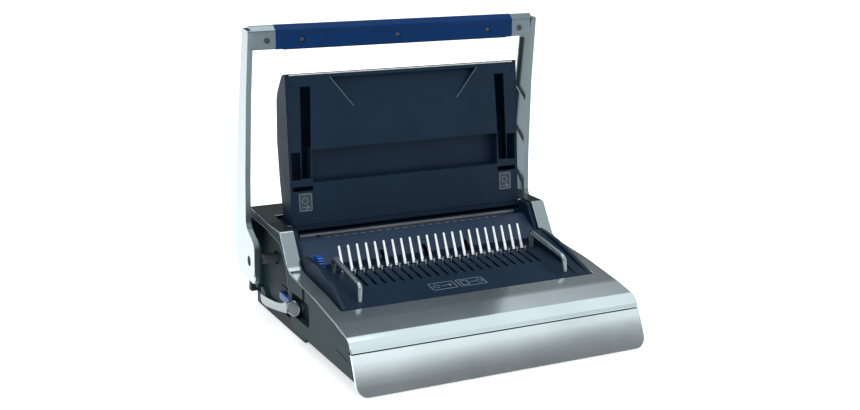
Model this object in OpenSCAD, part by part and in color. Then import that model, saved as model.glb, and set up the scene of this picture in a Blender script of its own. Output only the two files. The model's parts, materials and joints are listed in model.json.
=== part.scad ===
// Manual comb binding machine: bench body with towers, folding lid, punch handle,
// comb opening lever, hook rake, storage drawer and chip tray.
// X runs left to right, Y front to back, Z up. Feet stand on z = 0.

/* [Body] */
// Width of the body over the side covers
body_w = 450; // [400:1:480]
// Depth of the body at the foot of the rear wall
body_d = 450; // [430:1:480]
// Wall thickness of the moulded covers
wall = 2.5; // [2:0.5:4]
// Half width of the opening in the top cover
open_x = 202.6; // [195:0.1:205]

/* [Comb bed] */
// Pitch of the comb holes (nine sixteenths of an inch)
pitch = 14.2875; // [14.2875:0.0001:14.2876]
// Number of comb fingers
finger_n = 22; // [19:1:24]
// Width of a finger at its foot
finger_w = 4.4; // [3:0.1:6]
// Travel of the hook rake
rake_travel = 45; // [30:1:46]

/* [Handle] */
// Height of the handle pivot
pivot_z = 96; // [90:1:100]
// Distance of the handle pivot from the front
pivot_y = 368.5; // [360:0.5:375]
// Radius of the handle shaft
shaft_r = 8; // [6:0.5:9]
// Radial running clearance of shafts and pins
run = 0.05; // [0.02:0.01:0.08]
// Inward lean of the arms, degrees
arm_lean = 1.1; // [0:0.1:2]

/* [Lid] */
// Backward lean of the open lid, degrees
lid_lean = 3.93; // [0:0.01:8]
// Half width of the lid
lid_x = 194.6; // [185:0.1:196]
// Lid height above its hinge
lid_h = 230.5; // [200:0.5:240]

/* [Lever] */
// Distance of the comb lever axis from the front
lever_y = 233; // [230:1:235]
// Height of the comb lever axis
lever_z = 58; // [57:1:59]

/* [Hidden] */
$fn = 64;
half_w = body_w / 2;
lid_y = 329;
lid_z = 151;
wheel_y = 240;
wheel_z = 113.5;
bed_slope = 7.16;
slope_y = 258;
slope_z = 109.3;
slope_a = 29.2;
finger_x0 = -pitch * (finger_n - 1) / 2;
hole_x0 = finger_x0 + pitch / 2;

function unit(v) = v / norm(v);
function xy(v) = [v.x, v.y];
function turn(a, b) = a.x * b.y - a.y * b.x;
function short(a) = a > 180 ? a - 360 : (a < -180 ? a + 360 : a);
function arc(m, r, s, e, n) =
    [for (i = [0 : n]) m + r * [cos(s + (e - s) * i / n), sin(s + (e - s) * i / n)]];
function fillet(p0, p1, p2, r, n = 9) =
    let (u = unit(p0 - p1), v = unit(p2 - p1), h = acos(u * v) / 2)
    let (a = p1 + u * r / tan(h), b = p1 + v * r / tan(h), m = p1 + unit(u + v) * r / sin(h))
    let (s = atan2(a.y - m.y, a.x - m.x), e = atan2(b.y - m.y, b.x - m.x))
    arc(m, r, s, s + short(e - s), n);
// Polygon [x, y, corner radius] to points with round corners.
function rounded(v) = let (n = len(v)) [for (i = [0 : n - 1])
    each (v[i].z == 0 ? [xy(v[i])] : fillet(xy(v[(i + n - 1) % n]), xy(v[i]), xy(v[(i + 1) % n]), v[i].z))];
// Moves every side of a counter-clockwise polygon inwards by t.
function inset(v, t) = let (n = len(v)) [for (i = [0 : n - 1])
    let (a = xy(v[(i + n - 1) % n]), b = xy(v[i]), c = xy(v[(i + 1) % n]), u = unit(b - a), w = unit(c - b))
    let (p = [-u.y, u.x], q = [-w.y, w.x], m = (p + q) / (1 + p * q), r = v[i].z - t * sign(turn(u, w)))
    [b.x + t * m.x, b.y + t * m.y, v[i].z == 0 ? 0 : max(r, 0.3)]];
function bed_z(y) = 88.2 + (y - 110) * 0.1256;

// Outline of the whole body seen from the side, [y, z, radius].
body_side = [[-1.5, 0, 0], [body_d + 4.9, 0, 0], [body_d + 2.9, 20, 0], [437, 165, 7], [345, 157.6, 160],
    [294.5, 157.2, 8], [260, 104.5, 26], [163, 96, 350], [80, 83.6, 250], [30.5, 73.5, 22], [9.8, 31, 450]];
// Wheel-arch recess that clears the boot of the handle.
arch_side = [[255, 0, 0], [438, 0, 0], [438, 96, 0], [432.6, 150, 12], [360, 147.5, 60], [292, 138.5, 16],
    [267, 108, 40], [255, 64, 40]];
arm_side = [[343, 62.5, 14], [418, 66.5, 20], [441, 84, 12], [440, 125, 120], [433, 210, 250],
    [411, 345, 300], [392, 447.5, 5], [359, 445, 3], [372.5, 345, 350], [381.5, 220, 250],
    [382.5, 147, 18], [343, 127, 20]];
lid_side = [[329, 146, 3], [359, 148, 8], [374, 215, 70], [382, 275, 80], [379, 345, 40], [352, 380.6, 20],
    [339.6, 381.2, 1.5], [323.8, 146.2, 1]];
// The lever ends short of the handle shaft, so that it can swing up past it.
lever_side = [[241, 49, 3], [277.9, 41.8, 120], [305.3, 36.6, 120], [338, 31.5, 60], [357.5, 32.5, 6],
    [361, 45, 4], [345, 45.5, 40], [322.7, 47.6, 120], [290.5, 51.8, 100], [262, 58, 60], [241, 66.5, 3]];
grip_side = [[361, 415.5, 3], [391.5, 417, 8], [392, 446, 8], [371.5, 452.4, 6], [361, 444, 3]];

module place() { translate([0, -body_d / 2, 0]) children(); }
module slab(x0, x1) { translate([x0, 0, 0]) rotate([90, 0, 90]) linear_extrude(x1 - x0) children(); }
module face(y0, y1) { translate([0, y1, 0]) rotate([90, 0, 0]) linear_extrude(y1 - y0) children(); }
module box(a, b) { translate(a) cube(b - a); }
module rod(x0, x1, y, z, r) {
    translate([x0, y, z]) rotate([0, 90, 0]) cylinder(r = r, h = x1 - x0);
}
module mirror_x() { children(); mirror([1, 0, 0]) children(); }
// Lid frame: local y runs up the open lid, local z towards the reader.
module on_lid(w) {
    translate([0, lid_y, lid_z]) rotate([90 - lid_lean, 0, 0]) translate([0, 0, w]) children();
}
module on_slope(h) {
    translate([0, slope_y, slope_z]) rotate([slope_a, 0, 0]) translate([0, 0, h]) children();
}

module lean_arm() {
    translate([-245, pivot_y, pivot_z]) rotate([0, arm_lean, 0])
        translate([245, -pivot_y, -pivot_z]) children();
}

// ---- fixed body ----
module base_pan() color([0.07, 0.07, 0.08]) place() difference() {
    union() {
        box([-206, 17, 3], [206, 440, 24]);
        box([-212, 262, 3], [212, 448, 22]);
        mirror_x() slab(-212, -205)
            polygon(rounded([[228, 3, 5], [294, 3, 5], [294, 23, 3], [228, 23, 10]]));
    }
    box([-203, 16, 6], [203, 445, 25]);
    mirror_x() box([-209, 265, 6], [-202, 445, 25]);
}
module rubber_feet() color([0.05, 0.05, 0.05]) place() {
    mirror_x() translate([190, 40, 0]) cylinder(r = 9, h = 3);
    mirror_x() translate([195, 425, 0]) cylinder(r = 9, h = 3);
}
module cover_shell() {
    difference() {
        slab(-half_w, -203) intersection() {
            polygon(rounded(inset(body_side, wall)));
            polygon(rounded([[15.6, 24, 2], [254.9, 24, 20], [254.9, 62, 0], [262, 62, 0], [262, 24, 0],
                [456, 24, 0], [456, 170, 0], [24, 170, 0], [24, 58, 0], [31.6, 58, 0]]));
        }
        slab(-half_w - 1, -205.5) polygon(rounded(arch_side));
        slab(-half_w + wall, -202) difference() {
            polygon(rounded(inset(body_side, wall * 2)));
            polygon(rounded(inset(arch_side, -wall)));
            translate([0, -1]) square([460, 24 + wall + 1]);
            polygon([[0, 0], [7.3, 0], [34.7, 58.1], [34.7, 61], [0, 61]]);
        }
        box([-206, 262.5, 20], [-202, 345.5, 60]);
        rod(-207, -202, pivot_y, pivot_z, shaft_r + 3);
    }
}
module side_cover_left() color([0.16, 0.20, 0.23]) place() difference() {
    union() {
        cover_shell();
        slab(-half_w + 0.5, -210.5)
            polygon(rounded([[174.5, 41.5, 8], [249.5, 41.5, 8], [249.5, 81.5, 8], [174.5, 81.5, 8]]));
    }
    slab(-half_w - 1, -213) polygon(rounded([[177, 44, 6], [247, 44, 6], [247, 79, 6], [177, 79, 6]]));
    rod(-214, -202, lever_y, lever_z, 5 + run);
    box([-half_w - 1, 193, 78], [-half_w + 2, 203, 97]);
    slab(-half_w - 1, -half_w + 1) polygon([[30, 43.5], [76, 47.5], [76, 48.7], [30, 44.7]]);
}
module side_cover_right() color([0.16, 0.20, 0.23]) place() mirror([1, 0, 0]) cover_shell();
module rear_cover() color([0.16, 0.20, 0.23]) place() difference() {
    slab(-202.9, 202.9) difference() {
        polygon(rounded(inset(body_side, wall)));
        polygon(rounded(inset(body_side, wall * 2)));
        translate([-5, -1]) square([435, 180]);
        translate([0, -1]) square([470, 25]);
        translate([0, 154.8]) square([470, 30]);
    }
    for (i = [-4 : 4], z = [60, 72]) box([i * 22 - 7, 430, z], [i * 22 + 7, 460, z + 4]);
}
module top_cover() color([0.62, 0.64, 0.65]) place() difference() {
    slab(-half_w, half_w) difference() {
        polygon(rounded(body_side));
        polygon(rounded(inset(body_side, wall)));
        translate([-5, -1]) square([60, 58.9]);
        translate([30, -1]) square([500, 60]);
        translate([425, -1]) square([60, 156]);
    }
    box([-open_x, 109.5, 60], [open_x, 377, 170]);
}
module comb_bed() color([0.09, 0.12, 0.16]) place() difference() {
    union() {
        slab(-177.8, 177.8) polygon([[110.5, bed_z(110.5) - 5], [112, bed_z(112) - 3],
            [228, bed_z(228) - 3], [228, 91], [231, 91], [231, 98.5], [257.9, 98.5], [257.9, 101.5],
            [228, 101.5], [228, bed_z(228)], [110.5, bed_z(110.5)]]);
        slab(-177.8, 177.8) polygon([[110.5, 76], [113, 76], [113, 88], [110.5, 88]]);
    }
    for (i = [0 : finger_n - 1]) translate([finger_x0 + i * pitch, 0, 0]) {
        box([-2.1, 177, 80], [2.1, 229, 120]);
        translate([0, 177, 80]) cylinder(r = 2.1, h = 30);
    }
}
cheek_l = [[110.6, 84, 0], [268, 84, 0], [268, 124, 10], [240, 127.4, 30], [203, 126.9, 30],
    [157, 114.4, 60], [114, 91, 6], [110.6, 88.6, 0]];
cheek_r = [[110.6, 84, 0], [268, 84, 0], [268, 124, 10], [246, 122, 30], [206, 116.5, 40],
    [171, 107, 60], [114, 90, 6], [110.6, 88.6, 0]];
shelf = [[110.6, 84, 0], [257.9, 84, 0], [257.9, 122.6, 4], [203, 110.6, 20], [176, 103.6, 0],
    [136, 93.4, 0], [110.6, 88.6, 0]];
module cheek(ridge) {
    slab(-201.4, -195.2) polygon(rounded(ridge));
    slab(-195.3, -178) polygon(rounded(shelf));
}
module cheek_left() color([0.09, 0.12, 0.16]) place() difference() {
    cheek(cheek_l);
    slab(-194, -180) polygon([[115, 80], [202, 80], [202, 107], [176, 100.4], [115, 85.5]]);
    box([-203, 204.6, 80], [-175, 270, 135]);
}
module guide_cover() color([0.09, 0.12, 0.16]) place() {
    difference() {
        cheek(cheek_l);
        box([-203, 100, 80], [-175, 205, 135]);
        box([-190.6, 221.5, 80], [-180.6, 258.5, 135]);
    }
    rod(-191, -179, wheel_y, wheel_z, 3);
}
module cheek_right() color([0.09, 0.12, 0.16]) place() difference() {
    mirror([1, 0, 0]) cheek(cheek_r);
    slab(180, 193.5) polygon([[115, 80], [256, 80], [256, 117], [203, 107], [176, 100.4], [115, 85.5]]);
}
module guide_wheel() color([0.08, 0.22, 0.55]) place() difference() {
    union() {
        rod(-189.8, -181.4, wheel_y, wheel_z, 15.2);
        for (i = [0 : 23]) translate([-189.8, wheel_y, wheel_z]) rotate([i * 15, 0, 0])
            box([0, -1, 15], [8.4, 1, 17]);
    }
    rod(-191, -181, wheel_y, wheel_z, 3 + run);
}
module edge_guide() color([0.09, 0.12, 0.16]) place() {
    box([-158, 315, 100.6], [-153, 318, 138.5]);
    box([-179, 315, 100.6], [-153, 318, 103]);
}
module finger(w0, w1, len, t) {
    linear_extrude(t) polygon([[-w0 / 2, 0], [w0 / 2, 0], [w1 / 2, len - 1], [w1 / 2 - 1, len],
        [1 - w1 / 2, len], [-w1 / 2, len - 1]]);
}
module comb_fingers() color([0.85, 0.87, 0.88]) place() {
    for (i = [0 : finger_n - 1]) translate([finger_x0 + i * pitch, 232, 101.5]) rotate([64.65, 0, 0])
        finger(finger_w, 3, 40.5, 1.4);
    box([-156, 231, 101.5], [156, 237, 103]);
}
module hook_rake() color([0.75, 0.77, 0.78]) place() {
    for (i = [0 : finger_n - 1]) translate([finger_x0 + i * pitch, 0, 0]) {
        slab(-0.8, 0.8) polygon([[221, 93], [224.5, 93], [224.5, 102.5], [226.5, 106.5], [226.5, 108],
            [221.5, 108], [221.5, 106.5], [221, 104]]);
        slab(-2.2, 2.2) polygon([[221.6, 106.6], [226.4, 106.6], [226.4, 108], [221.6, 108]]);
    }
    slab(-155, 155) polygon([[217, 89], [227, 90], [226.5, 94], [216.5, 93]]);
}
module bail() {
    feet = [[167, 131, 85], [167, 231.5, 99]];
    bends = [[165, 133.4, 111.2], [165, 230, 126.6]];
    for (i = [0, 1]) slope_rod(feet[i], bends[i], 3);
    for (p = bends) translate(p) sphere(r = 3.08);
    slope_rod(bends[0], bends[1], 3);
}
module slope_rod(a, b, r) {
    d = b - a;
    translate(a) rotate([0, acos(d.z / norm(d)), atan2(d.y, d.x)]) cylinder(r = r, h = norm(d));
}
module bail_right() color([0.6, 0.63, 0.65]) place() bail();
module bail_left() color([0.6, 0.63, 0.65]) place() mirror([1, 0, 0]) bail();

// ---- punch unit ----
module throat_front() color([0.10, 0.14, 0.20]) place() difference() {
    slab(-195, 195) polygon([[258.1, 84], [260.6, 84], [260.6, 107.9], [304.4, 132.4], [311.5, 133.8],
        [311.5, 118.3], [314, 118.3], [314, 136.6], [306.5, 136.1], [303, 134.5], [258.1, 109.3]]);
    on_slope(-0.8) linear_extrude(3) difference() {
        polygon(rounded([[-96.5, -2, 0], [91.5, -2, 0], [88.5, 26, 6], [-86, 26, 10]]));
        polygon(rounded([[-95.3, -2, 0], [90.3, -2, 0], [87.3, 24.8, 5], [-85, 24.8, 9]]));
    }
    for (x = [-72, -2, 68]) on_slope(-8) linear_extrude(12) {
        translate([x - 3.6, -10]) square([7.2, 23]);
        translate([x, 13]) circle(r = 3.6);
    }
}
module throat_rear() color([0.10, 0.12, 0.15]) place() {
    slab(-195, 195) polygon([[321.2, 124], [324, 124], [324, 138.2], [373.5, 138.2], [373.5, 133],
        [376, 133], [376, 156], [373.5, 156], [373.5, 141], [321.2, 141]]);
}
module stripper_plate() color([0.72, 0.74, 0.76]) place() difference() {
    box([-183.9, 319, 84], [183.9, 321, 140.6]);
    for (i = [0 : finger_n - 2])
        box([hole_x0 + i * pitch - 4.2, 318, 103.3], [hole_x0 + i * pitch + 4.2, 322, 106.7]);
}
module punch_die() color([0.45, 0.47, 0.5]) place() difference() {
    union() {
        box([-183.9, 301, 92], [183.9, 314, 118.2]);
        box([-183.9, 313, 96], [183.9, 318.7, 100]);
    }
    for (i = [0 : finger_n - 2])
        box([hole_x0 + i * pitch - 4.2, 300, 103.3], [hole_x0 + i * pitch + 4.2, 315, 106.7]);
}
module pressure_bar() color([0.4, 0.42, 0.45]) place() {
    box([-176, 342, 97], [176, 357.5, 113]);
}
module punch_pins() color([0.6, 0.62, 0.65]) place() {
    for (i = [0 : finger_n - 2])
        box([hole_x0 + i * pitch - 3.9, 319.6, 103.6], [hole_x0 + i * pitch + 3.9, 342, 106.4]);
}
module frame_plates() color([0.5, 0.52, 0.55]) place() mirror_x() difference() {
    slab(184, 187) polygon([[299, 62], [350, 62], [350, 6.5], [398, 6.5], [398, 129.5], [299, 115.5]]);
    rod(180, 190, pivot_y, pivot_z, shaft_r + run);
}
module hinge_brackets() color([0.09, 0.11, 0.14]) place() mirror_x() difference() {
    slab(195.8, 202.4)
        polygon(rounded([[270, 84, 0], [376, 84, 0], [376, 154.5, 0], [298, 154.5, 6], [270, 113, 10]]));
    rod(190, 205, lid_y, lid_z, 4 + run);
    rod(190, 205, pivot_y, pivot_z, shaft_r + 1.5);
}
// ---- punch handle ----
module handle_shaft() color([0.35, 0.36, 0.38]) place() {
    rod(-246.5, 246.5, pivot_y, pivot_z, shaft_r);
    for (x = [-120, 110]) rod(x, x + 10, pivot_y, pivot_z + 10, 9.5);
}
// Sunk channel on the inner side of an arm.
channel = [[389, 138, 8], [436.5, 138, 8], [430.5, 210, 250], [408, 345, 300], [396, 411, 4],
    [368, 411, 4], [376, 345, 350], [385, 220, 250]];
module arm_casting() {
    difference() {
        union() {
            lean_arm() {
                slab(-247.4, -240.6) polygon(rounded(arm_side));
                slab(-249, -247.3) polygon(rounded([[343, 73.5, 10], [404, 76, 14], [430, 92, 10],
                    [430, 125, 120], [424.5, 215, 250], [404, 350, 300], [386, 447.2, 3], [359, 445, 3],
                    [372.5, 345, 350], [381.5, 220, 250], [382.5, 147, 18], [343, 127, 20]]));
            }
            slab(-237, -199.2) polygon(rounded(inset(grip_side, 0.5)));
        }
        lean_arm() slab(-245, -239) polygon(rounded(channel));
        rod(-252, -238, pivot_y, pivot_z, shaft_r);
        slab(-222, -198) polygon(rounded(inset(grip_side, 4)));
        translate([-212.5, 363.5, 429.5]) rotate([90, 0, 0]) cylinder(r = 4.6, h = 10);
    }
    lean_arm() slab(-245.1, -241.4) intersection() {
        polygon(rounded(inset(channel, -0.5)));
        for (z = [307.5, 232.5, 158.6])
            polygon([[380, z - 4.5], [440, z + 39.9], [440, z + 43.2], [380, z - 1.2]]);
    }
}
module handle_arm_left() color([0.68, 0.71, 0.73]) place() arm_casting();
module handle_arm_right() color([0.68, 0.71, 0.73]) place() mirror([1, 0, 0]) arm_casting();
module grip_body() color([0.07, 0.15, 0.33]) place() difference() {
    slab(-199.2, 199.2) polygon(rounded(grip_side));
    box([-188.6, 355, 410], [188.6, 366, 438.6]);
    slab(-200, 200) polygon(rounded(inset(grip_side, 9)));
}
module grip_panel() color([0.06, 0.14, 0.31]) place() difference() {
    box([-188, 361.2, 416], [188, 366, 438]);
    for (x = [-158, -1.5, 155]) translate([x, 361, 429.5]) rotate([90, 0, 0])
        cylinder(r = 4.4, h = 6, center = true);
}
module handle_screws() color([0.5, 0.52, 0.54]) place() {
    for (x = [-158, -1.5, 155]) translate([x, 364, 429.5]) rotate([90, 0, 0]) difference() {
        cylinder(r = 3.4, h = 1.8);
        translate([0, 0, 1]) cylinder(r = 1.5, h = 1);
    }
    for (x = [-212.5, 212.5]) translate([x, 363.5, 429.5]) rotate([90, 0, 0]) difference() {
        cylinder(r = 4, h = 2.4);
        translate([0, 0, 1.4]) cylinder(r = 1.8, h = 2);
    }
}
// Thin dark blocks on the inner side of the arms' ends, where the lever passes.
module pivot_covers() color([0.13, 0.16, 0.18]) place() mirror_x() difference() {
    slab(-241.2, -237.2) polygon(rounded([[344, 64, 8], [388, 64, 8], [388, 84, 10], [380.5, 124, 8],
        [362, 134, 10], [344, 124, 10]]));
    lean_arm() slab(-250, -240.6) square([500, 500]);
    rod(-245, -230, pivot_y, pivot_z, shaft_r);
}
// Bosses round the ends of the shaft, behind the swing of the lever.
module pivot_bosses() color([0.13, 0.16, 0.18]) place() mirror_x() difference() {
    slab(-237.2, -230.5) {
        translate([pivot_y, pivot_z]) circle(r = shaft_r + 1.2);
        polygon(rounded([[366.6, 52, 2], [381, 53, 5], [388, 62, 6], [387, 85, 8], [378, 103, 4],
            [360.5, 103, 3]]));
    }
    rod(-245, -230, pivot_y, pivot_z, shaft_r);
}

// ---- lid ----
module lid_shell() color([0.10, 0.12, 0.15]) place() difference() {
    slab(-lid_x, lid_x) polygon(rounded(lid_side));
    slab(-lid_x + wall, lid_x - wall) polygon(rounded(inset(lid_side, wall)));
    on_lid(1) linear_extrude(10) translate([-lid_x + wall, -3.2]) square([2 * (lid_x - wall), 231]);
    on_lid(2.4) linear_extrude(5) translate([-188, 227]) square([376, 2.5]);
    mirror_x() rod(-196, -190, lid_y, lid_z, 4);
}
module lid_face() color([0.09, 0.11, 0.14]) place() difference() {
    union() {
        on_lid(2.5) linear_extrude(2.5) translate([-192, -3]) square([384, 230.6]);
        on_lid(0) slab(-131, 131) polygon([[176, 3], [221, -6.6], [224.2, -6.6], [224.2, 3]]);
        on_lid(-14) linear_extrude(16.6) translate([-160, 63.5]) square([320, 54.5]);
        on_lid(4.9) linear_extrude(1.4) translate([-192, 3]) square([384, 9]);
    }
    intersection() {
        on_lid(-12) linear_extrude(30) polygon([[-87.5, 178], [87.5, 178], [123.5, 223], [-123.5, 223]]);
        on_lid(0) slab(-130, 130) polygon([[178, 5], [221, -4.8], [223, -4.8], [223, 9], [178, 9]]);
    }
    on_lid(-11.5) linear_extrude(20) translate([-157.5, 66]) square([315, 49.5]);
    mirror_x() on_lid(-30) linear_extrude(40) {
        polygon([[161, 73], [175, 73], [171.5, 211], [155, 211]]);
        translate([176, 72]) square([14.6, 41.5]);
        translate([158, 54.5]) square([32, 7]);
    }
}
module lid_trim() color([0.75, 0.77, 0.79]) place() {
    on_lid(2.4) linear_extrude(2.9) translate([-188, 227.9]) square([376, 1.6]);
}
module label_plates() color([0.30, 0.34, 0.38]) place() mirror_x() {
    on_lid(5) linear_extrude(0.5) translate([160, 23]) square([22, 29]);
}
module lid_pins() color([0.7, 0.72, 0.74]) place() mirror_x() rod(192.1, 202, lid_y, lid_z, 4);
// ---- comb lever ----
module lever_shaft() color([0.12, 0.13, 0.15]) place() {
    rod(-220, -213.4, lever_y, lever_z, 8.5);
    rod(-214, -170, lever_y, lever_z, 5);
}
// The eye at the end of the lever looks forwards and outwards.
module at_eye() {
    translate([-227.5, lever_y, lever_z]) rotate([0, 0, 35]) rotate([0, -90, 0]) children();
}

module lever_arm() color([0.70, 0.73, 0.75]) place() difference() {
    union() {
        slab(-235.6, -229) polygon(rounded(lever_side));
        at_eye() rotate_extrude() polygon([[0, -9], [8, -9], [11.2, -6], [12.2, -2], [12.2, 0], [11.4, 1.6],
            [10.4, 2], [9.5, 1.2], [9.5, -1], [0, -1]]);
    }
    rod(-220, -200, lever_y, lever_z, 8.5);
}
// Thumb pad that wraps the end of the arm.
module lever_grip() color([0.13, 0.16, 0.18]) place() difference() {
    slab(-235.2, -226.4)
        polygon(rounded([[337, 38, 4], [357, 37, 4], [360, 55, 4], [349, 58.5, 5], [337, 52, 5]]));
    slab(-236, -229) polygon(rounded(lever_side));
}
module lever_cap() color([0.10, 0.11, 0.13]) place() at_eye() intersection() {
    translate([0, 0, -1]) cylinder(r = 9.4, h = 6);
    translate([0, 0, -23.2]) sphere(r = 26);
}
// ---- drawer and chip tray ----
module drawer_front() color([0.70, 0.72, 0.73]) place() intersection() {
    slab(-half_w - 1, half_w + 1) difference() {
        polygon(rounded(body_side));
        polygon(rounded(inset(body_side, 5)));
        translate([7, -1]) square([100, 7.5]);
        translate([33, -1]) square([500, 200]);
    }
    face(-5, 60)
        polygon(rounded([[-half_w, 4, 16], [half_w, 4, 16], [half_w, 56.6, 0], [-half_w, 56.6, 0]]));
}
module drawer_tray() color([0.12, 0.14, 0.16]) place() difference() {
    slab(-196, 196) polygon([[7.4, 8], [215, 8], [215, 52], [26.2, 52], [16.4, 31]]);
    slab(-193.5, 193.5) polygon([[11.3, 10.5], [212.5, 10.5], [212.5, 53], [29.4, 53], [19.6, 31]]);
}
module chip_tray() color([0.08, 0.09, 0.11]) place() difference() {
    box([-205.5, 265.5, 25], [205.5, 344, 58]);
    box([-203, 268, 27.5], [203, 341.5, 60]);
}
module chip_tab() color([0.10, 0.30, 0.60]) place() box([-211, 300, 38], [-205.5, 343, 50]);

base_pan();
rubber_feet();
side_cover_left();
side_cover_right();
rear_cover();
top_cover();
comb_bed();
cheek_left();
cheek_right();
guide_cover();
guide_wheel();
edge_guide();
comb_fingers();
hook_rake();
bail_left();
bail_right();
throat_front();
throat_rear();
stripper_plate();
punch_die();
pressure_bar();
punch_pins();
frame_plates();
hinge_brackets();
handle_shaft();
handle_arm_left();
handle_arm_right();
grip_body();
grip_panel();
handle_screws();
lid_shell();
lid_face();
lid_trim();
label_plates();
lid_pins();
lever_shaft();
lever_arm();
lever_grip();
pivot_covers();
pivot_bosses();
lever_cap();
drawer_front();
drawer_tray();
chip_tray();
chip_tab();
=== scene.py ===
import json
import math

import bmesh
import bpy
from mathutils import Matrix, Vector

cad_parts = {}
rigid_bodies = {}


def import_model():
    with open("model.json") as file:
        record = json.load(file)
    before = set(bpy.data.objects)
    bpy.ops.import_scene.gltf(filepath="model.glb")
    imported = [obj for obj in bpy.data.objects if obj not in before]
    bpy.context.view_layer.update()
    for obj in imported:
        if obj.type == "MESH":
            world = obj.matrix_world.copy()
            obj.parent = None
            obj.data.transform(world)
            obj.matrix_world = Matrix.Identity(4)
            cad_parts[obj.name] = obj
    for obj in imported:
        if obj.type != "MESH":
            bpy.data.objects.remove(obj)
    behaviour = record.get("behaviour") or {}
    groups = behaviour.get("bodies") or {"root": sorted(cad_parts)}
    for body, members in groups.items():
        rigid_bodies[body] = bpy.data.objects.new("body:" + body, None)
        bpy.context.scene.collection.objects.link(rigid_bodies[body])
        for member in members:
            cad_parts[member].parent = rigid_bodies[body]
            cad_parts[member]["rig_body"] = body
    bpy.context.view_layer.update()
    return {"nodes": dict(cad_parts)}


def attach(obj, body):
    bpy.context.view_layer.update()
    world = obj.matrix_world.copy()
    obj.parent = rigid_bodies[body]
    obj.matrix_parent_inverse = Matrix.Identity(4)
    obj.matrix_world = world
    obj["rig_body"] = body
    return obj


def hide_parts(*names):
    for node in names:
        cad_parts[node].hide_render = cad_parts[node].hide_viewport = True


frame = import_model()
NODES = frame["nodes"]
MM = 0.001
SHADER = "Principled BSDF"

# the machine, in mm from the middle of its front edge at the table; a pair is y and z
DEPTH_SHIFT = 225.0  # that front edge lies this far in front of the origin
LID_LEAN = 3.93  # degrees that the open lid leans back
LID_HINGE = (329, 151)
LID_FACE = 5.0  # height of the lid's face over the plane of its hinge
LABEL_FACE = 5.5  # height of the label plates over the same plane
BED_POINT = (110, 88.2)  # a point of the comb bed's sloping top
BED_RISE = 0.1256  # what the bed rises for each mm towards the back
TOWER_FRONT = 255  # y behind which the top cover's faces take a darker silver, painted shade for the towers' dark reflection
STRIP_TOP = 103.1  # faces of the comb fingers below this z belong to their strip
DIAL_AXIS = (240, 113.5)
DIAL_RADIUS = 15.2  # between its ridges
GROOVE_SPAN = 0.4  # how far the middle of a face between the ridges may be off that radius
CAST_OUTSIDE = 0.75  # an arm's face that looks outwards less than this takes a darker silver, painted shade
PITCH = 14.2875  # from one comb finger to the next
HOLES = 21
HOLE_MARKS = (308.6, 136.25)
HOLE_MARK_HALF = 3
LABEL_MIDDLE = 171  # x of the right label plate's middle
GRIP_FRONT = 361.0  # y of the grip's front face
BAIL_PATH = ((167, 131, 85), (165, 133.6, 111.6), (165, 229.6, 127), (167, 231.5, 99))  # the right one
BAIL_RADIUS = 4.0
BAIL_BEND = 7
ARCH_SIDE = 225  # x of the right side cover's outside
ARCH_PATH = ((256, 66), (267.5, 109), (292, 139.2), (360, 148.2), (430, 150.8))
ARCH_LIP_RADIUS = 0.9
ARCH_LIP_BEND = 9
ARCH_LIP_SIDES = 10

# the camera: degrees, mm, and the focal length on a sensor of that width
CAMERA_TURN = (-25.94, 14.01, 0.08)  # azimuth, elevation, roll
CAMERA_PLACE = (-813, -1420, 647)
CAMERA_LENS = 53.16
SENSOR_WIDTH = 36
VIEW_DEPTH = 50  # metres

# the room: brightness against height, from the horizon (0) to straight up (1)
WORLD_LEVELS = [(0.0, 0.035), (0.14, 0.025), (0.24, 0.06), (0.36, 0.11), (0.46, 0.14), (0.50, 0.50),
                (0.54, 0.95), (0.59, 1.25), (0.90, 1.25)]
WORLD_LEAN = -0.16  # adds to the height in front of the object and takes from it behind
WORLD_TINT = (0.96, 1.0, 1.03)
FLOOR_HALF = 30  # metres
FLOOR_GLOW = (0.98, 1.0, 1.0, 1)
FLOOR_GLOW_STRENGTH = 0.60

# surfaces and meshes
GRAIN_DEPTH = 0.04  # mm
COAT_ROUGHNESS = 0.12
MOTTLE_STOPS = (0.35, 0.65)
NOISE_SPAN = (0.3, 0.7)  # most of a noise texture's values lie in this span
MERGE_DISTANCE = 2e-6  # metres
FLAT_ANGLE = 0.6  # faces that meet at less than this many degrees become one
STROKE_SINK = 0.05  # mm that a raised line's foot goes into the surface
RING_SIDES = 20
BEND_STEPS = 8
TUBE_SMOOTH = 50  # degrees


def at(x, y, z):
    """A point given from the middle of the front edge, in mm, as a point of the row frame in metres."""
    return Vector((x * MM, (y - DEPTH_SHIFT) * MM, z * MM))


# ---------------------------------------------------------------- camera, floor, light
def add_camera():
    """The camera at the photograph's viewing angle."""
    az, el, roll = (math.radians(turn) for turn in CAMERA_TURN)
    back = Vector((math.sin(az) * math.cos(el), -math.cos(az) * math.cos(el), math.sin(el)))
    right = Vector((math.cos(az), math.sin(az), 0))
    up = back.cross(right)
    turn = Matrix.Rotation(roll, 3, back)
    rows = Matrix((turn @ right, turn @ up, turn @ back)).transposed()
    data = bpy.data.cameras.new("camera")
    data.lens = CAMERA_LENS
    data.sensor_width = SENSOR_WIDTH
    data.clip_end = VIEW_DEPTH
    cam = bpy.data.objects.new("camera", data)
    cam.matrix_world = Matrix.Translation(at(*CAMERA_PLACE)) @ rows.to_4x4()
    bpy.context.scene.collection.objects.link(cam)
    bpy.context.scene.camera = cam


def area_light(name, place, target, size, power, color=(1, 1, 1), size_y=None):
    data = bpy.data.lights.new(name, "AREA")
    data.shape = "RECTANGLE"
    data.size, data.size_y = size, size_y or size
    data.energy = power
    data.color = color
    ob = bpy.data.objects.new(name, data)
    ob.location = place
    ob.rotation_euler = (Vector(target) - Vector(place)).to_track_quat("-Z", "Y").to_euler()
    bpy.context.scene.collection.objects.link(ob)


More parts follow.
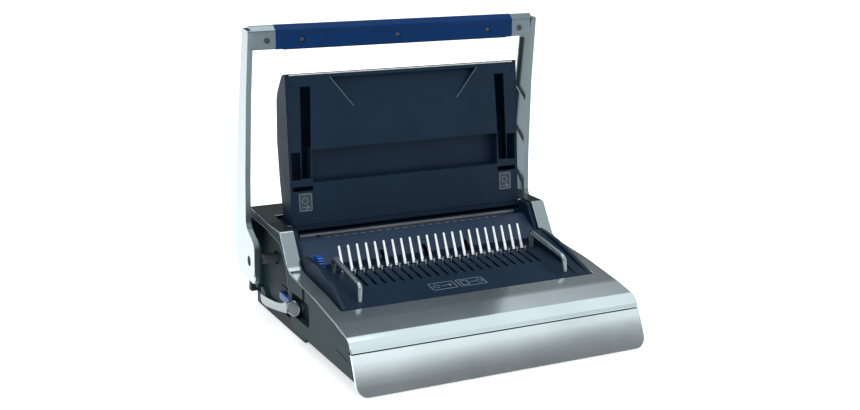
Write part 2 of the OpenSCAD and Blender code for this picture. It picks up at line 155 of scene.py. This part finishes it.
def add_world():
    """A dim room with a bright ceiling, a little lighter in front of the object than behind it."""
    world = bpy.data.worlds.new("studio")
    bpy.context.scene.world = world
    world.use_nodes = True
    nt = world.node_tree
    nt.nodes.clear()
    link = nt.links.new
    out = nt.nodes.new("ShaderNodeOutputWorld")
    bg = nt.nodes.new("ShaderNodeBackground")
    ramp = nt.nodes.new("ShaderNodeValToRGB")
    sep = nt.nodes.new("ShaderNodeSeparateXYZ")
    tc = nt.nodes.new("ShaderNodeTexCoord")
    lean = nt.nodes.new("ShaderNodeMath")
    lean.operation = "MULTIPLY_ADD"
    lean.inputs[1].default_value = WORLD_LEAN
    link(tc.outputs["Generated"], sep.inputs[0])
    link(sep.outputs["Y"], lean.inputs[0])
    link(sep.outputs["Z"], lean.inputs[2])
    link(lean.outputs[0], ramp.inputs[0])
    el = ramp.color_ramp.elements
    while len(el) < len(WORLD_LEVELS):
        el.new(0.5)
    for e, (place, level) in zip(el, WORLD_LEVELS):
        e.position = place
        e.color = (*(level * tint for tint in WORLD_TINT), 1)
    link(ramp.outputs[0], bg.inputs["Color"])
    bg.inputs["Strength"].default_value = 1.0
    link(bg.outputs[0], out.inputs[0])


# ---------------------------------------------------------------- materials
def new_material(name):
    m = bpy.data.materials.new(name)
    m.use_nodes = True
    nt = m.node_tree
    return m, nt, nt.nodes[SHADER]


def surface(name, color, rough=0.45, metallic=0.0, grain=0.0, grain_scale=900.0, mottle=0.06,
            mottle_scale=14.0, rough_spread=0.06, coat=0.0, specular=0.5, flake=0.0, brushed=None):
    """A moulded, lacquered or metal surface: colour mottle, roughness breakup, fine grain in relief."""
    m, nt, bsdf = new_material(name)
    link = nt.links.new
    tc = nt.nodes.new("ShaderNodeTexCoord")
    mapping = nt.nodes.new("ShaderNodeMapping")
    link(tc.outputs["Object"], mapping.inputs[0])
    if brushed:
        mapping.inputs["Scale"].default_value = brushed
    broad = nt.nodes.new("ShaderNodeTexNoise")
    broad.inputs["Scale"].default_value = mottle_scale
    broad.inputs["Detail"].default_value = 4
    link(tc.outputs["Object"], broad.inputs["Vector"])
    fine = nt.nodes.new("ShaderNodeTexNoise")
    fine.inputs["Scale"].default_value = grain_scale
    fine.inputs["Detail"].default_value = 2
    link(mapping.outputs[0], fine.inputs["Vector"])
    ramp = nt.nodes.new("ShaderNodeValToRGB")
    dark = [c * (1 - mottle) for c in color]
    light = [min(1, c * (1 + mottle)) for c in color]
    for stop, place, shade in zip(ramp.color_ramp.elements, MOTTLE_STOPS, (dark, light)):
        stop.position = place
        stop.color = (*shade, 1)
    link(broad.outputs["Fac"], ramp.inputs[0])
    tone = ramp.outputs[0]
    if flake:
        spark = nt.nodes.new("ShaderNodeMix")
        spark.data_type = "RGBA"
        spark.blend_type = "OVERLAY"
        spark.inputs["Factor"].default_value = flake
        link(tone, spark.inputs["A"])
        grey = nt.nodes.new("ShaderNodeValToRGB")
        for stop, place in zip(grey.color_ramp.elements, NOISE_SPAN):
            stop.position = place
        link(fine.outputs["Fac"], grey.inputs[0])
        link(grey.outputs[0], spark.inputs["B"])
        tone = spark.outputs["Result"]
    link(tone, bsdf.inputs["Base Color"])
    spread = nt.nodes.new("ShaderNodeMapRange")
    spread.inputs["From Min"].default_value, spread.inputs["From Max"].default_value = NOISE_SPAN
    spread.inputs["To Min"].default_value = max(0.02, rough - rough_spread)
    spread.inputs["To Max"].default_value = min(1, rough + rough_spread)
    mixed = nt.nodes.new("ShaderNodeMath")
    mixed.operation = "MULTIPLY_ADD"
    link(fine.outputs["Fac"], mixed.inputs[0])
    mixed.inputs[1].default_value = 0.5
    half = nt.nodes.new("ShaderNodeMath")
    half.operation = "MULTIPLY"
    half.inputs[1].default_value = 0.5
    link(broad.outputs["Fac"], half.inputs[0])
    link(half.outputs[0], mixed.inputs[2])
    link(mixed.outputs[0], spread.inputs["Value"])
    link(spread.outputs[0], bsdf.inputs["Roughness"])
    bsdf.inputs["Metallic"].default_value = metallic
    bsdf.inputs["Coat Weight"].default_value = coat
    bsdf.inputs["Coat Roughness"].default_value = COAT_ROUGHNESS
    bsdf.inputs["Specular IOR Level"].default_value = specular
    if grain:
        relief = nt.nodes.new("ShaderNodeBump")
        relief.inputs["Strength"].default_value = grain
        relief.inputs["Distance"].default_value = GRAIN_DEPTH * MM
        link(fine.outputs["Fac"], relief.inputs["Height"])
        link(relief.outputs[0], bsdf.inputs["Normal"])
    return m


MAT = {
    "silver_cover": surface("silver_lacquer", (0.54, 0.62, 0.645), 0.15, 0.88, grain=0.06, grain_scale=2600,
                            mottle=0.03, rough_spread=0.02, coat=0.35, flake=0.05),
    "silver_front": surface("silver_front_lacquer", (0.74, 0.82, 0.83), 0.18, 0.95, grain=0.06,
                            grain_scale=2600, mottle=0.03, rough_spread=0.02, coat=0.3, flake=0.05),
    "silver_casting": surface("silver_casting_lacquer", (0.52, 0.58, 0.60), 0.30, 0.90, grain=0.3,
                              grain_scale=2200, mottle=0.03, rough_spread=0.05, coat=0.2, flake=0.08),
    "dark_cover": surface("slate_plastic", (0.013, 0.032, 0.038), 0.50, grain=0.6, grain_scale=1500,
                          mottle=0.07, rough_spread=0.07, specular=0.10),
    "charcoal": surface("charcoal_plastic", (0.006, 0.017, 0.034), 0.44, grain=0.6, grain_scale=1700,
                        mottle=0.08, rough_spread=0.07, specular=0.10),
    "slope": surface("navy_plastic", (0.014, 0.030, 0.060), 0.42, grain=0.5, grain_scale=1700, mottle=0.07,
                     specular=0.16),
    "black_plastic": surface("black_plastic", (0.006, 0.009, 0.011), 0.52, grain=0.7, grain_scale=1400,
                             mottle=0.10, specular=0.2),
    "grip_blue": surface("navy_grip", (0.002, 0.024, 0.094), 0.44, grain=0.6, grain_scale=1500, mottle=0.07,
                         specular=0.05),
    "dial_blue": surface("blue_dial", (0.012, 0.095, 0.400), 0.34, grain=0.3, grain_scale=1500, mottle=0.06,
                         coat=0.15, specular=0.35),
    "bail": surface("satin_bail", (0.30, 0.36, 0.39), 0.30, 0.85, grain=0.4, grain_scale=2000, mottle=0.04,
                    flake=0.05),
    "finger": surface("finger_steel", (0.86, 0.88, 0.88), 0.30, 0.45, grain=0.3, grain_scale=1500,
                      mottle=0.03, brushed=(1, 0.05, 0.05)),
    "satin_steel": surface("satin_steel", (0.62, 0.64, 0.65), 0.30, 0.95, grain=0.4, grain_scale=1400,
                           mottle=0.04, brushed=(0.04, 1, 1)),
    "tool_steel": surface("tool_steel", (0.30, 0.31, 0.32), 0.38, 0.95, grain=0.5, grain_scale=1200,
                          mottle=0.08, brushed=(0.05, 1, 1)),
    "label": surface("label_panel", (0.030, 0.042, 0.054), 0.40, grain=0.3, grain_scale=1800, mottle=0.05,
                     specular=0.25),
    "rubber": surface("foot_rubber", (0.012, 0.012, 0.012), 0.75, grain=0.8, grain_scale=700, mottle=0.15),
    # a darker silver: painted shade on the top cover's towers, and the lever arm's tone
    "dark_silver_and_painted_shade": surface("dark_silver_and_painted_shade_lacquer", (0.22, 0.265, 0.275), 0.22, 0.95, grain=0.1,
                            grain_scale=2600, mottle=0.03, rough_spread=0.03, coat=0.3, flake=0.05),
    # painted shade: a darker copy of the casting lacquer for the arm faces that turn away from the light
    "casting_painted_shade": surface("casting_painted_shade_lacquer", (0.13, 0.165, 0.18), 0.32, 0.90, grain=0.3,
                             grain_scale=2200, mottle=0.04, rough_spread=0.05, coat=0.15, flake=0.08),
    "dark_screw": surface("dark_screw", (0.06, 0.065, 0.07), 0.36, 0.8, grain=0.4, grain_scale=1500,
                          mottle=0.10),
    # a lighter slate: the grey of the lever cap, and a painted highlight on the lid recess's edges and the
    # arch lips
    "slate_grey_and_painted_highlight": surface("slate_grey_and_painted_highlight_plastic", (0.10, 0.13, 0.14), 0.38, grain=0.4, grain_scale=1500, mottle=0.06,
                          specular=0.4),
    "print": surface("pale_print", (0.20, 0.25, 0.30), 0.5, mottle=0.05, grain=0.2, grain_scale=1800),
    "throat_print": surface("throat_print", (0.36, 0.34, 0.46), 0.5, mottle=0.05, grain=0.2,
                            grain_scale=1800),
}


# ---------------------------------------------------------------- meshes
def link_mesh(name, me, body, material):
    ob = bpy.data.objects.new(name, me)
    me.materials.clear()
    me.materials.append(material)
    bpy.context.scene.collection.objects.link(ob)
    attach(ob, body)
    return ob


def smooth(me, angle=32):
    me.polygons.foreach_set("use_smooth", [True] * len(me.polygons))
    me.set_sharp_from_angle(angle=math.radians(angle))


def round_edges(ob, width, segments=2, angle=28):
    mod = ob.modifiers.new("round", "BEVEL")
    mod.width = width * MM
    mod.segments = segments
    mod.limit_method = "ANGLE"
    mod.angle_limit = math.radians(angle)
    mod.use_clamp_overlap = True
    mod.miter_outer = "MITER_ARC"
    wn = ob.modifiers.new("normals", "WEIGHTED_NORMAL")
    wn.keep_sharp = True
    wn.weight = 60


def soften(node, material, width=0.5, segments=2, angle=28, merge=True):
    """A copy of a CAD node with rounded edges and smooth shading, which stands for it."""
    src = NODES[node]
    me = src.data.copy()
    me.name = node + "_soft"
    bm = bmesh.new()
    bm.from_mesh(me)
    bmesh.ops.remove_doubles(bm, verts=bm.verts, dist=MERGE_DISTANCE)
    if merge:
        bmesh.ops.dissolve_limit(bm, angle_limit=math.radians(FLAT_ANGLE), use_dissolve_boundaries=False,
                                 verts=bm.verts, edges=bm.edges)
    bm.to_mesh(me)
    bm.free()
    smooth(me)
    ob = link_mesh(node + "_soft", me, src["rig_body"], material)
    if width:
        round_edges(ob, width, segments, angle)
    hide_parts(node)
    return ob


def second_tone(ob, material, chosen):
    """The faces of ob for which chosen(face) is true take a second material."""
    ob.data.materials.append(material)
    for face in ob.data.polygons:
        if chosen(face):
            face.material_index = 1


def in_groove_painted_shade(face):
    """Whether a face of the dial lies between its ridges, where a darker navy is painted as the grooves'
    shade.
    """
    from_axis = (face.center - at(face.center.x / MM, *DIAL_AXIS)).length
    return abs(from_axis - DIAL_RADIUS * MM) < GROOVE_SPAN * MM


def strokes(name, lines, width, place, body, material, height=0.12):
    """Raised thin lines on a surface: each 2-D polyline in mm becomes a band that place() puts in space."""
    bm = bmesh.new()
    for line in lines:
        for (ax, ay), (bx, by) in zip(line, line[1:]):
            along = Vector((bx - ax, by - ay)).normalized() * width / 2
            across = Vector((-along.y, along.x))
            a, b = Vector((ax, ay)) - along, Vector((bx, by)) + along
            base = [a - across, b - across, b + across, a + across]
            lower = [bm.verts.new(place(q.x, q.y, -STROKE_SINK)) for q in base]
            upper = [bm.verts.new(place(q.x, q.y, height)) for q in base]
            bm.faces.new(upper)
            bm.faces.new(list(reversed(lower)))
            for k in range(4):
                bm.faces.new((lower[k], lower[(k + 1) % 4], upper[(k + 1) % 4], upper[k]))
    bmesh.ops.recalc_face_normals(bm, faces=bm.faces)
    me = bpy.data.meshes.new(name)
    bm.to_mesh(me)
    bm.free()
    return link_mesh(name, me, body, material)


def ring(cx, cy, r):
    """A closed circle as a polyline."""
    turns = [2 * math.pi * k / RING_SIDES for k in range(RING_SIDES + 1)]
    return [(cx + r * math.cos(t), cy + r * math.sin(t)) for t in turns]


def frame_line(x0, y0, x1, y1, cut=1.2):
    """A closed rectangle with cut corners."""
    return [(x0 + cut, y0), (x1 - cut, y0), (x1, y0 + cut), (x1, y1 - cut), (x1 - cut, y1), (x0 + cut, y1),
            (x0, y1 - cut), (x0, y0 + cut), (x0 + cut, y0)]


def on_lid(w):
    """Place on the open lid: u to the right, v up the lid, in mm, w off its hinge plane."""
    tilt = math.radians(90 - LID_LEAN)
    y, z = LID_HINGE
    return lambda u, v, h: at(u, y + v * math.cos(tilt) - (w + h) * math.sin(tilt),
                              z + v * math.sin(tilt) + (w + h) * math.cos(tilt))


def on_bed(u, v, h):
    """Place h over the comb bed's sloping top: u to the right and v to the back, in mm."""
    y, z = BED_POINT
    return at(u, v, z + (v - y) * BED_RISE + h)


def dress(node, material):
    """Gives a CAD node, kept as it is, its material."""
    me = NODES[node].data
    if not me.materials:
        me.materials.append(material)
    for i in range(len(me.materials)):
        me.materials[i] = material


def tube(name, points, radius, body, material, bend, segments=16, node=None):
    """A round bar along points, with round bends, as a mesh; it stands for node if one is named."""
    pts = [points[0]]
    for a, b, c in zip(points, points[1:], points[2:]):
        u, v = (a - b).normalized(), (c - b).normalized()
        half = u.angle(v) / 2
        cut = bend / math.tan(half)
        centre = b + (u + v).normalized() * bend / math.sin(half)
        p, q = b + u * cut - centre, b + v * cut - centre
        axis = p.cross(q).normalized()
        total = p.angle(q)
        for i in range(BEND_STEPS + 1):
            pts.append(centre + Matrix.Rotation(total * i / BEND_STEPS, 3, axis) @ p)
    pts.append(points[-1])
    bm = bmesh.new()
    rings = []
    side = None
    for i, p in enumerate(pts):
        d = (pts[min(i + 1, len(pts) - 1)] - pts[max(i - 1, 0)]).normalized()
        if side is None:
            side = d.orthogonal().normalized()
        side = (side - d * side.dot(d)).normalized()
        other = d.cross(side)
        rings.append([bm.verts.new(p + (side * math.cos(t) + other * math.sin(t)) * radius)
                      for t in (2 * math.pi * k / segments for k in range(segments))])
    for r, s in zip(rings, rings[1:]):
        for k in range(segments):
            bm.faces.new((r[k], r[(k + 1) % segments], s[(k + 1) % segments], s[k]))
    bm.faces.new(list(reversed(rings[0])))
    bm.faces.new(rings[-1])
    bmesh.ops.recalc_face_normals(bm, faces=bm.faces)
    me = bpy.data.meshes.new(name)
    bm.to_mesh(me)
    bm.free()
    smooth(me, TUBE_SMOOTH)
    ob = link_mesh(name, me, body, material)
    if node:
        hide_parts(node)
    return ob


# ---------------------------------------------------------------- build
add_camera()
add_world()
bpy.context.scene.view_settings.view_transform = "Standard"

floor_mesh = bpy.data.meshes.new("floor")
corners = [(x * FLOOR_HALF, y * FLOOR_HALF, 0) for x, y in ((-1, -1), (1, -1), (1, 1), (-1, 1))]
floor_mesh.from_pydata(corners, [], [(0, 1, 2, 3)])
floor = bpy.data.objects.new("floor", floor_mesh)
FLOOR = surface("studio_floor", (0.84, 0.85, 0.85), 0.7, mottle=0.01, mottle_scale=2, specular=0.1)
FLOOR.node_tree.nodes[SHADER].inputs["Emission Color"].default_value = FLOOR_GLOW
FLOOR.node_tree.nodes[SHADER].inputs["Emission Strength"].default_value = FLOOR_GLOW_STRENGTH
floor_mesh.materials.append(FLOOR)
bpy.context.scene.collection.objects.link(floor)

area_light("key", (-2.2, -1.6, 1.9), (0, 0, 0.12), size=1.0, power=12)
area_light("right", (2.4, -1.7, 0.9), (0, 0, 0.1), size=1.1, power=16, color=(0.97, 0.99, 1.0), size_y=1.0)
area_light("top", (0.0, 0.2, 2.6), (0, 0, 0.1), size=1.4, power=18)

# painted shade: the top cover is one silver lacquer, but its faces behind TOWER_FRONT take a darker silver
# that stands in for the dark reflection on the towers
second_tone(soften("top_cover", MAT["silver_cover"], 1.2, 3), MAT["dark_silver_and_painted_shade"],
            lambda face: face.center.y > (TOWER_FRONT - DEPTH_SHIFT) * MM)
soften("drawer_front", MAT["silver_front"], 1.0, 3)
for n in ("side_cover_left", "side_cover_right", "rear_cover"):
    soften(n, MAT["dark_cover"], 0.7, 2)
soften("base_pan", MAT["black_plastic"], 0.6, 2)
for n in ("comb_bed", "cheek_left", "cheek_right", "guide_cover", "hinge_brackets", "throat_rear",
          "edge_guide"):
    soften(n, MAT["charcoal"], 0.4, 2)
soften("throat_front", MAT["slope"], 0.4, 2)
soften("lid_shell", MAT["charcoal"], 0.5, 2)
soften("lid_face", MAT["charcoal"], 0.5, 2, merge=False)
# painted shade: each arm is one silver casting, but its faces that look outwards less than CAST_OUTSIDE
# take a darker silver that stands in for the shade on its front and inner faces
for n, out in (("handle_arm_left", -1), ("handle_arm_right", 1)):
    second_tone(soften(n, MAT["silver_casting"], 0.7, 2), MAT["casting_painted_shade"],
                lambda face: face.normal.x * out < CAST_OUTSIDE)
soften("lever_arm", MAT["dark_silver_and_painted_shade"], 1.2, 3)
soften("grip_body", MAT["grip_blue"], 0.7, 2)
soften("grip_panel", MAT["grip_blue"], 0.4, 2)
# painted shade: the dial is one blue, but its faces between the ridges take a darker navy for the shade in
# the grooves
second_tone(soften("guide_wheel", MAT["dial_blue"], 0.3, 2), MAT["grip_blue"], in_groove_painted_shade)
soften("chip_tab", MAT["dial_blue"], 0.8, 3)
second_tone(soften("comb_fingers", MAT["finger"], 0.25, 2), MAT["charcoal"],
            lambda face: face.center.z < STRIP_TOP * MM)
soften("hook_rake", MAT["satin_steel"], 0.15, 1)
soften("lever_grip", MAT["dark_cover"], 1.0, 3)
soften("pivot_covers", MAT["dark_cover"], 1.0, 3)
soften("pivot_bosses", MAT["dark_cover"], 1.0, 3)
soften("lever_cap", MAT["slate_grey_and_painted_highlight"], 0.2, 2)
soften("handle_screws", MAT["dark_screw"], 0.2, 2)
soften("lid_trim", MAT["satin_steel"], 0.2, 1)
soften("label_plates", MAT["label"], 0.15, 1)
for side, sx in (("left", -1), ("right", 1)):
    bar = [at(sx * x, y, z) for x, y, z in BAIL_PATH]
    tube("bail_" + side + "_bar", bar, BAIL_RADIUS * MM, "base", MAT["bail"],
         BAIL_BEND * MM, node="bail_" + side)
for n in ("drawer_tray", "chip_tray"):
    dress(n, MAT["black_plastic"])
dress("lid_pins", MAT["satin_steel"])
dress("stripper_plate", MAT["tool_steel"])
for n in ("punch_die", "pressure_bar", "punch_pins", "frame_plates", "handle_shaft", "lever_shaft"):
    dress(n, MAT["tool_steel"])
dress("rubber_feet", MAT["rubber"])

# fine lines: generic marks on the bed and the lid plates, a mark for each hole on the throat, the
# lid recess's slanted edges as painted highlight lines, two small rings on the lid, the arch lips in a
# lighter slate as a painted highlight, and the grip panel's groove
strokes("bed_marks", [frame_line(-52, 130, -14, 152), ring(-43, 141, 4.4), [(-35, 141), (-19, 141)],
                      [(-23, 144), (-19, 141), (-23, 138)], frame_line(-8, 130, 34, 152),
                      frame_line(-3, 134, 8, 148), [(12, 141), (20, 141)], ring(26.5, 141, 4.4)],
        0.9, on_bed, "base", MAT["print"])
holes = [PITCH * (k - HOLES // 2) for k in range(HOLES)]
strokes("throat_marks", [[(x - HOLE_MARK_HALF, 0), (x + HOLE_MARK_HALF, 0)] for x in holes], 1.1,
        lambda u, v, h: at(u, HOLE_MARKS[0] + v, HOLE_MARKS[1] + h), "base", MAT["throat_print"])
for side, sx in (("left", -1), ("right", 1)):
    c = sx * LABEL_MIDDLE
    strokes("label_marks_" + side, [frame_line(c - 9.5, 25, c + 9.5, 50), ring(c - 1, 40, 4.6),
                                    [(c - 6, 30), (c + 6, 30)], [(c + 1, 33), (c + 6, 30), (c + 1, 27)]],
            0.55, on_lid(LABEL_FACE), "lid", MAT["print"])
    # painted highlight: lighter slate lines along the lid recess's slanted edges stand in for the light
    # caught there
    strokes("recess_painted_highlight_" + side, [[(sx * 87.5, 178), (sx * 123.5, 223)]], 0.9, on_lid(LID_FACE),
            "lid", MAT["slate_grey_and_painted_highlight"])
    strokes("lid_stop_" + side, [ring(sx * 186, 214, 1.5)], 1.1, on_lid(LID_FACE), "lid",
            MAT["black_plastic"])
    # the arch lips are real rims, drawn in a lighter slate that is a painted highlight
    lip = [at(sx * ARCH_SIDE, y, z) for y, z in ARCH_PATH]
    tube("arch_lip_painted_highlight_" + side, lip, ARCH_LIP_RADIUS * MM, "base", MAT["slate_grey_and_painted_highlight"],
         ARCH_LIP_BEND * MM, ARCH_LIP_SIDES)
strokes("grip_groove", [frame_line(-188.3, 415.6, 188.3, 438.4, 0.6)], 0.9,
        lambda u, v, h: at(u, GRIP_FRONT - h, v), "handle", MAT["black_plastic"], 0.1)
